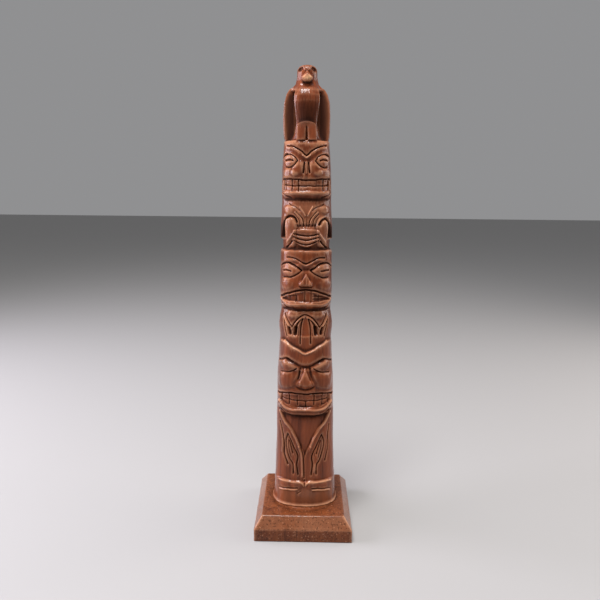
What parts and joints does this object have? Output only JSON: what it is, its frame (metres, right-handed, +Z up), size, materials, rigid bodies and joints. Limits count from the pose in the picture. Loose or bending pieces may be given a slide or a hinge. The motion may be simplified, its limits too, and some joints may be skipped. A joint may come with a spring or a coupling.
{
  "type": "totem pole",
  "caption": "Small carved wooden totem pole with a standing bird over stacked creature heads, on a square plinth.",
  "frame": {"origin": "centre of the plinth's underside", "axes": "+Z up along the pole, -Y towards the carved front, +X to the viewer's right"},
  "size_m": [0.072, 0.072, 0.336],
  "materials": {
    "base_wood": "stained and lacquered softwood with a dull sheen",
    "pole_wood": "reddish brown stained and lacquered carved wood, darker in the grooves"
  },
  "bodies": {
    "root": {"base": "base_wood", "pole": "pole_wood"}
  },
  "joints": []
}
